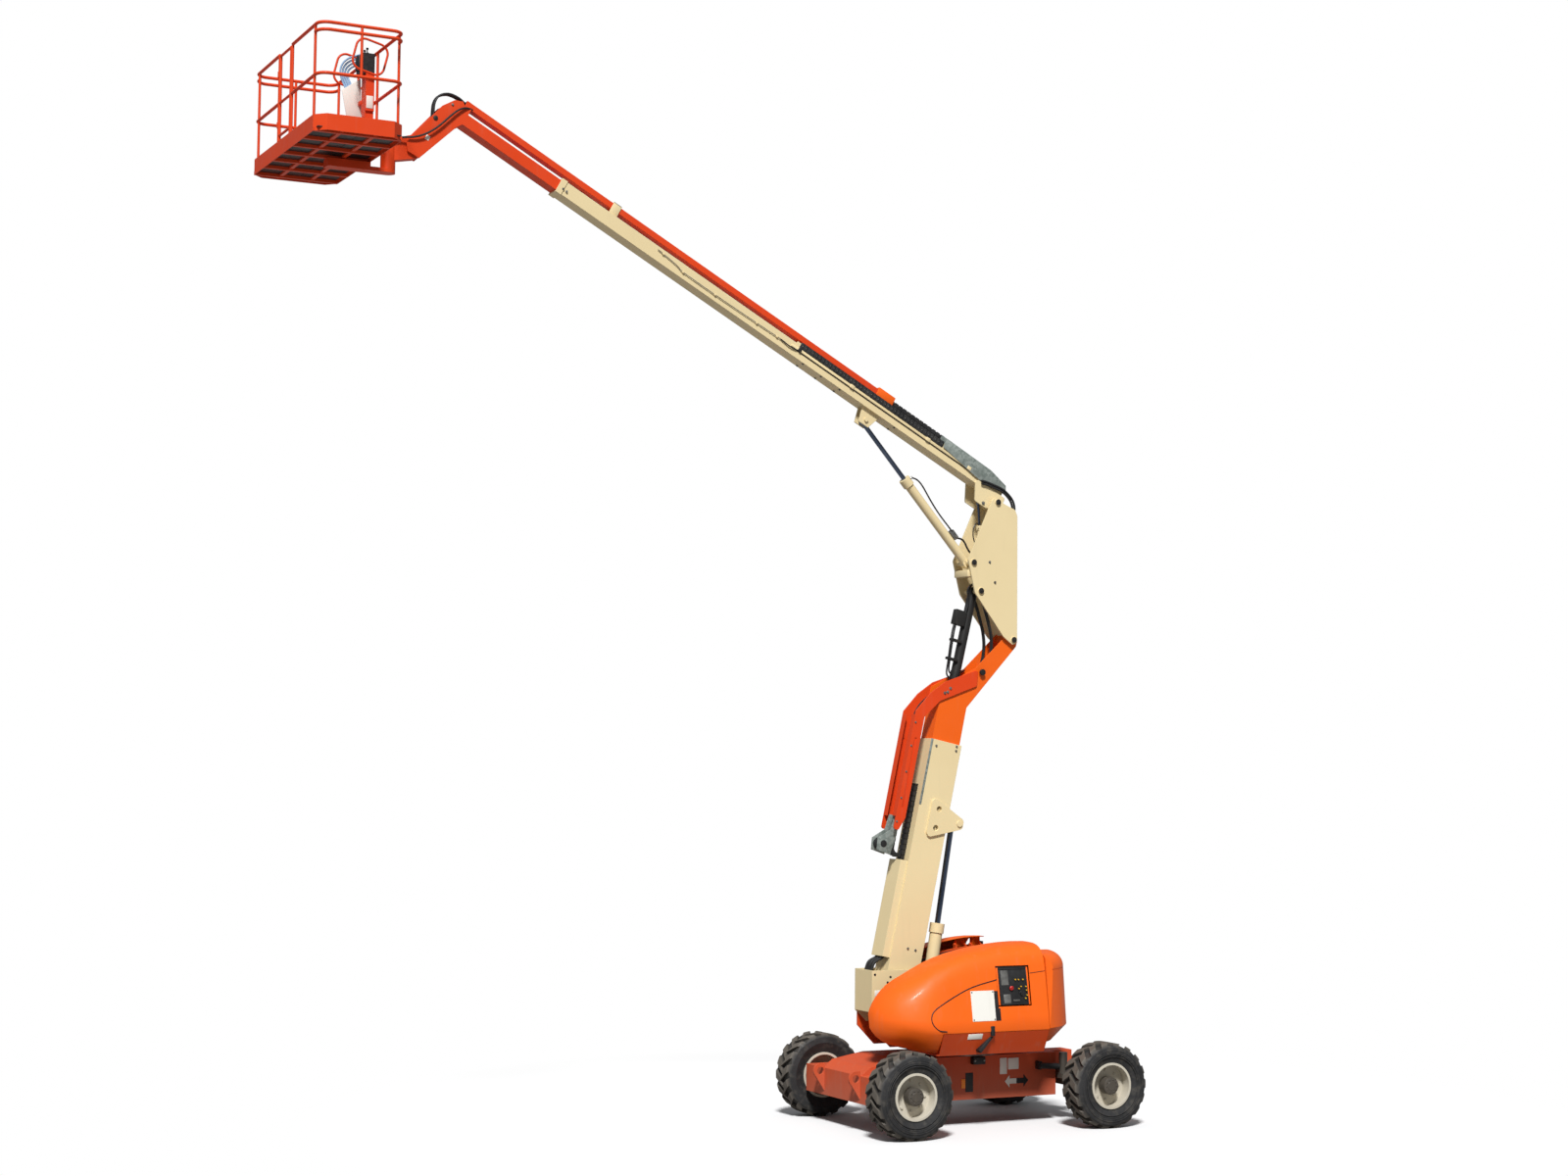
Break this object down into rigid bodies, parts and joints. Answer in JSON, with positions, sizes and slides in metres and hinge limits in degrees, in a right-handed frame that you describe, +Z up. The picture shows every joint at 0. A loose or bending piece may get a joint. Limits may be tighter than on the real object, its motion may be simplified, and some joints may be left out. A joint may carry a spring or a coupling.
{
  "type": "articulating boom lift",
  "caption": "Self-propelled articulating boom lift with slewing turntable, telescoping tower, upright, telescoping main boom and railed work platform on four wheels.",
  "frame": {"origin": "on the ground, under the slewing axis at the middle of the chassis", "axes": "+Z up along the slewing axis, -X towards the platform, +X towards the steered axle, -Y the side of the ground controls"},
  "size_m": [9.769, 2.51, 11.428],
  "materials": {
    "orange_paint": "gloss orange paint",
    "weight_paint": "orange paint on a casting",
    "tan_paint": "semi-gloss tan paint",
    "black_paint": "black paint",
    "bright_steel": "oiled steel",
    "galvanised": "galvanised sheet",
    "rim_paint": "cream grey paint",
    "tyre": "rubber",
    "black_plastic": "matt black",
    "engine": "dull cast metal",
    "chrome": "polished rod"
  },
  "bodies": {
    "chassis": {"chassis_frame": "orange_paint", "steer_axle": "black_paint", "slewing_ring": "bright_steel"},
    "knuckle_near": {"knuckle_near": "black_paint"},
    "knuckle_far": {"knuckle_far": "black_paint"},
    "tie_rod": {"tie_rod": "black_paint"},
    "wheel_front_near": {"tyre_front_near": "tyre", "rim_front_near": "rim_paint"},
    "wheel_front_far": {"tyre_front_far": "tyre", "rim_front_far": "rim_paint"},
    "wheel_rear_near": {"tyre_rear_near": "tyre", "rim_rear_near": "rim_paint"},
    "wheel_rear_far": {"tyre_rear_far": "tyre", "rim_rear_far": "rim_paint"},
    "turntable": {"turntable_frame": "orange_paint", "tower_mount": "tan_paint", "counterweight": "weight_paint", "engine_block": "engine", "ground_controls": "black_plastic"},
    "hood_near": {"hood_near": "orange_paint"},
    "hood_far": {"hood_far": "orange_paint"},
    "tower": {"tower_base": "tan_paint", "tower_tray": "tan_paint", "tower_chain_run": "black_plastic"},
    "tower_chain": {"tower_chain_loop": "black_plastic"},
    "tower_fly": {"tower_fly": "orange_paint", "track_carrier": "orange_paint"},
    "upright": {"upright": "tan_paint"},
    "tower_lift_barrel": {"tower_lift_barrel": "tan_paint"},
    "tower_lift_rod": {"tower_lift_rod": "chrome"},
    "upright_level_barrel": {"upright_level_barrel": "black_paint"},
    "upright_level_rod": {"upright_level_rod": "chrome"},
    "main_lift_barrel": {"main_lift_barrel": "tan_paint"},
    "main_lift_rod": {"main_lift_rod": "chrome"},
    "platform_level_barrel": {"platform_level_barrel": "tan_paint"},
    "platform_level_rod": {"platform_level_rod": "chrome"},
    "boom": {"boom_base": "tan_paint", "chain_guard": "galvanised", "boom_chain_run": "black_plastic"},
    "boom_chain": {"boom_chain_loop": "black_plastic"},
    "boom_fly": {"boom_fly": "orange_paint", "push_tube": "orange_paint"},
    "platform_support": {"platform_support": "orange_paint"},
    "platform": {"platform_floor": "orange_paint", "platform_rails": "orange_paint", "console_stand": "orange_paint", "platform_console": "black_plastic"},
    "platform_gate": {"platform_gate": "orange_paint"}
  },
  "joints": [
    {"name": "swing", "type": "hinge", "parent": "chassis", "child": "turntable", "pos_m": [0, 0, 0.85], "axis": [0, 0, 1], "range_deg": [-180, 180]},
    {"name": "steer_near", "type": "hinge", "parent": "chassis", "child": "knuckle_near", "pos_m": [1.25, -0.81, 0.472], "axis": [0, 0, 1], "range_deg": [-35, 35]},
    {"name": "steer_far", "type": "hinge", "parent": "chassis", "child": "knuckle_far", "pos_m": [1.25, 0.81, 0.472], "axis": [0, 0, 1], "range_deg": [-35.05, 35.05]},
    {"name": "tie_rod_shift", "type": "slide", "parent": "chassis", "child": "tie_rod", "axis": [0, 1, 0], "range_m": [-0.116, 0.116]},
    {"name": "wheel_front_near_spin", "type": "hinge", "parent": "chassis", "child": "wheel_front_near", "pos_m": [-1.25, -1.075, 0.472], "axis": [0, 1, 0], "continuous": true},
    {"name": "wheel_front_far_spin", "type": "hinge", "parent": "chassis", "child": "wheel_front_far", "pos_m": [-1.25, 1.075, 0.472], "axis": [0, 1, 0], "continuous": true},
    {"name": "wheel_rear_near_spin", "type": "hinge", "parent": "knuckle_near", "child": "wheel_rear_near", "pos_m": [1.25, -1.075, 0.472], "axis": [0, 1, 0], "continuous": true},
    {"name": "wheel_rear_far_spin", "type": "hinge", "parent": "knuckle_far", "child": "wheel_rear_far", "pos_m": [1.25, 1.075, 0.472], "axis": [0, 1, 0], "continuous": true},
    {"name": "hood_near_lift", "type": "hinge", "parent": "turntable", "child": "hood_near", "pos_m": [0, -0.455, 1.955], "axis": [-1, 0, 0], "range_deg": [0, 60]},
    {"name": "hood_far_lift", "type": "hinge", "parent": "turntable", "child": "hood_far", "pos_m": [0, 0.455, 1.955], "axis": [1, 0, 0], "range_deg": [0, 60]},
    {"name": "tower_lift", "type": "hinge", "parent": "turntable", "child": "tower", "pos_m": [-1.04, 0, 1.6], "axis": [0, -1, 0], "range_deg": [-80, 0]},
    {"name": "tower_extend", "type": "slide", "parent": "tower", "child": "tower_fly", "axis": [0.2079, 0, 0.9781], "range_m": [0, 1.05]},
    {"name": "tower_chain_roll", "type": "slide", "parent": "tower", "child": "tower_chain", "axis": [0.2079, 0, 0.9781], "range_m": [-0.0005, 0.5255]},
    {"name": "upright_level", "type": "hinge", "parent": "tower_fly", "child": "upright", "pos_m": [0.60217, 0, 5.47321], "axis": [0, -1, 0], "range_deg": [-0.05, 80.05]},
    {"name": "main_lift", "type": "hinge", "parent": "upright", "child": "boom", "pos_m": [0.38417, 0, 7.05521], "axis": [0, 1, 0], "range_deg": [-28.6, 45.4]},
    {"name": "boom_extend", "type": "slide", "parent": "boom", "child": "boom_fly", "axis": [-0.878, 0, 0.4787], "range_m": [-1.2, 3.28]},
    {"name": "boom_chain_roll", "type": "slide", "parent": "boom", "child": "boom_chain", "axis": [-0.878, 0, 0.4787], "range_m": [-0.6005, 1.6405]},
    {"name": "platform_level", "type": "hinge", "parent": "boom_fly", "child": "platform_support", "pos_m": [-6.71311, 0, 10.43046], "axis": [0, 1, 0], "range_deg": [-45.45, 28.65]},
    {"name": "platform_rotate", "type": "hinge", "parent": "platform_support", "child": "platform", "pos_m": [-6.93, 0, 10.16], "axis": [0, 0, 1], "range_deg": [-90, 90]},
    {"name": "gate_swing", "type": "hinge", "parent": "platform", "child": "platform_gate", "pos_m": [-8.023, 0.255, 10.5], "axis": [0, 0, 1], "range_deg": [0, 90]},
    {"name": "tower_lift_barrel_tilt", "type": "hinge", "parent": "turntable", "child": "tower_lift_barrel", "pos_m": [-0.484, 0, 1.03], "axis": [0, -1, 0], "range_deg": [-80.85, 0.05]},
    {"name": "tower_lift_rod_stroke", "type": "slide", "parent": "tower_lift_barrel", "child": "tower_lift_rod", "axis": [0.1586, 0, 0.9873], "range_m": [-1.02564, 0.0005]},
    {"name": "upright_level_barrel_tilt", "type": "hinge", "parent": "upright", "child": "upright_level_barrel", "pos_m": [0.16017, 0, 6.02321], "axis": [0, -1, 0], "range_deg": [-76.75, 0.05]},
    {"name": "upright_level_rod_stroke", "type": "slide", "parent": "upright_level_barrel", "child": "upright_level_rod", "axis": [-0.2332, 0, -0.9724], "range_m": [-0.90807, 0.0005]},
    {"name": "main_lift_barrel_tilt", "type": "hinge", "parent": "upright", "child": "main_lift_barrel", "pos_m": [0.06417, 0, 6.34821], "axis": [0, 1, 0], "range_deg": [-23.45, 37.2]},
    {"name": "main_lift_rod_stroke", "type": "slide", "parent": "main_lift_barrel", "child": "main_lift_rod", "axis": [-0.6617, 0, 0.7497], "range_m": [-0.32161, 0.51024]},
    {"name": "platform_level_barrel_tilt", "type": "hinge", "parent": "upright", "child": "platform_level_barrel", "pos_m": [0.27217, 0, 6.37321], "axis": [0, 1, 0], "range_deg": [-1.06, 1.66]},
    {"name": "platform_level_rod_stroke", "type": "slide", "parent": "platform_level_barrel", "child": "platform_level_rod", "axis": [-0.0621, 0, 0.9981], "range_m": [-0.07203, 0.11405]}
  ],
  "couplings": [
    {"joint": "steer_far", "follows": "steer_near", "ratio": 1},
    {"joint": "tie_rod_shift", "follows": "steer_near", "m_per_rad": 0.1878},
    {"joint": "tower_chain_roll", "follows": "tower_extend", "ratio": 0.5},
    {"joint": "boom_chain_roll", "follows": "boom_extend", "ratio": 0.5},
    {"joint": "upright_level", "follows": "tower_lift", "ratio": -1},
    {"joint": "platform_level", "follows": "main_lift", "ratio": -1},
    {"joint": "tower_lift_barrel_tilt", "follows": "tower_lift", "ratio": 1.01},
    {"joint": "tower_lift_rod_stroke", "follows": "tower_lift", "m_per_rad": 0.7342},
    {"joint": "upright_level_barrel_tilt", "follows": "tower_lift", "ratio": 0.9588},
    {"joint": "upright_level_rod_stroke", "follows": "tower_lift", "m_per_rad": 0.65},
    {"joint": "main_lift_barrel_tilt", "follows": "main_lift", "ratio": 0.8183},
    {"joint": "main_lift_rod_stroke", "follows": "main_lift", "m_per_rad": 0.6433},
    {"joint": "platform_level_barrel_tilt", "follows": "main_lift", "ratio": 0.0355},
    {"joint": "platform_level_rod_stroke", "follows": "main_lift", "m_per_rad": 0.1433}
  ]
}
